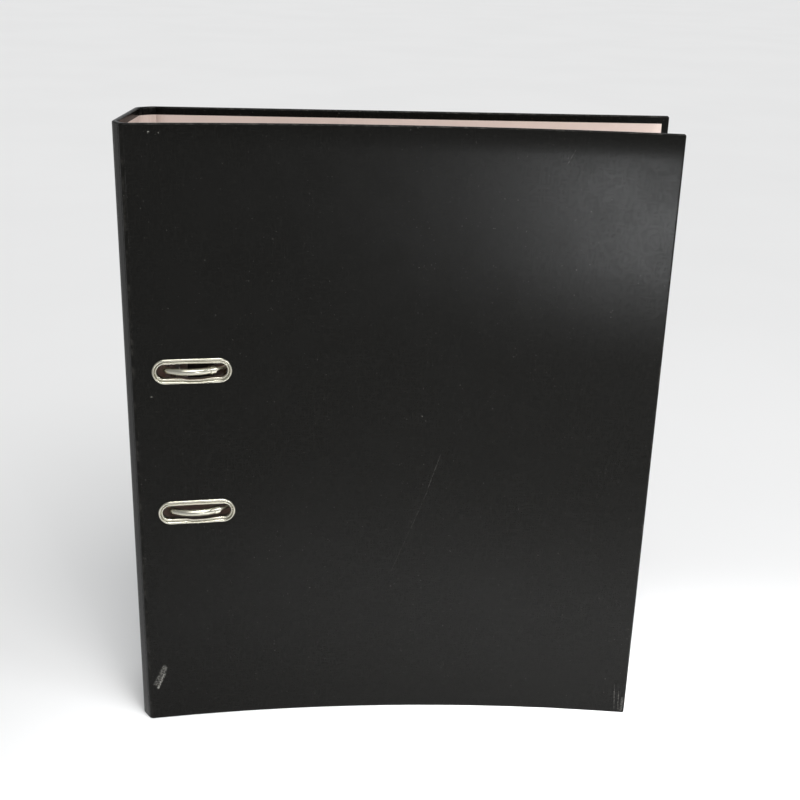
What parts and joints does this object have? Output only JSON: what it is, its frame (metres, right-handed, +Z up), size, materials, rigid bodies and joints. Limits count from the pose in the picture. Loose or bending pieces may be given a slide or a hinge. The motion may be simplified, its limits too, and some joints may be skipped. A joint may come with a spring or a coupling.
{
  "type": "lever arch file",
  "caption": "Standing lever arch file with black embossed covers, slotted front cover, swinging ring arch, lifting lever and sliding compressor bar.",
  "frame": {"origin": "centre of the closed file's outline, at the height of the lower edges it stands on", "axes": "+Z up along the spine, spine at -X, fore-edge at +X, front cover facing -Y"},
  "size_m": [0.2862, 0.0638, 0.335],
  "materials": {
    "cover_paper": "linen-embossed, black",
    "greyboard": "raw greyboard",
    "lining_paper": "matt, pinkish buff",
    "label_paper": "matt white",
    "nickel": "bright nickel plate",
    "zinc_steel": "zinc plate",
    "spring_steel": "drawn wire",
    "black_plastic": "moulded"
  },
  "bodies": {
    "back_cover": {"back_board": "greyboard", "back_wrap": "cover_paper", "back_lining": "lining_paper", "rivet_lower_spine_side": "zinc_steel", "rivet_lower_edge_side": "zinc_steel", "rivet_upper_spine_side": "zinc_steel", "rivet_upper_edge_side": "zinc_steel", "base_plate": "zinc_steel", "lower_post": "nickel", "upper_post": "nickel", "lever_pivot_pin": "zinc_steel"},
    "back_strip": {"back_strip_board": "greyboard", "back_strip_wrap": "cover_paper", "back_strip_lining": "lining_paper"},
    "spine": {"spine_board": "greyboard", "spine_wrap": "cover_paper", "spine_lining": "lining_paper", "finger_ring": "nickel", "spine_label": "label_paper"},
    "front_strip": {"front_strip_board": "greyboard", "front_strip_wrap": "cover_paper", "front_strip_lining": "lining_paper"},
    "front_cover": {"front_board": "greyboard", "front_wrap": "cover_paper", "front_lining": "lining_paper", "lower_eyelet": "nickel", "upper_eyelet": "nickel"},
    "arch": {"arch": "nickel", "arch_crank": "zinc_steel", "arch_spring": "spring_steel"},
    "lever": {"lever": "zinc_steel", "lever_grip": "black_plastic", "roller_pin": "zinc_steel"},
    "roller": {"roller": "zinc_steel"},
    "compressor": {"compressor_bar": "nickel", "compressor_clip": "nickel"}
  },
  "joints": [
    {"name": "front_cover_hinge", "type": "hinge", "parent": "front_strip", "child": "front_cover", "pos_m": [-0.1383, -0.02712, 0.1695], "axis": [0, 0, -1], "range_deg": [0, 56]},
    {"name": "spine_front_crease", "type": "hinge", "parent": "spine", "child": "front_strip", "pos_m": [-0.14315, -0.01965, 0.1695], "axis": [0, 0, -1], "range_deg": [0, 40]},
    {"name": "spine_back_crease", "type": "hinge", "parent": "back_strip", "child": "spine", "pos_m": [-0.13748, 0.0265, 0.1695], "axis": [0, 0, -1], "range_deg": [0, 52]},
    {"name": "back_cover_crease", "type": "hinge", "parent": "back_cover", "child": "back_strip", "pos_m": [-0.12985, 0.03108, 0.1695], "axis": [0, 0, -1], "range_deg": [0, 31]},
    {"name": "arch_swing", "type": "hinge", "parent": "back_cover", "child": "arch", "pos_m": [-0.12295, 0.02348, 0.1695], "axis": [0, 0, -1], "range_deg": [0, 70], "deforming": ["arch_spring"]},
    {"name": "lever_lift", "type": "hinge", "parent": "back_cover", "child": "lever", "pos_m": [-0.10745, 0.02328, 0.1395], "axis": [1, 0, 0], "range_deg": [0, 90]},
    {"name": "roller_spin", "type": "hinge", "parent": "lever", "child": "roller", "pos_m": [-0.10745, 0.02213, 0.1695], "axis": [1, 0, 0], "continuous": true},
    {"name": "compressor_slide", "type": "slide", "parent": "back_cover", "child": "compressor", "axis": [0, -1, 0], "range_m": [0, 0.024]}
  ],
  "couplings": [
    {"joint": "spine_front_crease", "follows": "front_cover_hinge", "ratio": 0.71428},
    {"joint": "spine_back_crease", "follows": "front_cover_hinge", "ratio": 0.92857},
    {"joint": "back_cover_crease", "follows": "front_cover_hinge", "ratio": 0.55357},
    {"joint": "arch_swing", "follows": "front_cover_hinge", "ratio": 1.25},
    {"joint": "lever_lift", "follows": "front_cover_hinge", "ratio": 1.6071}
  ]
}
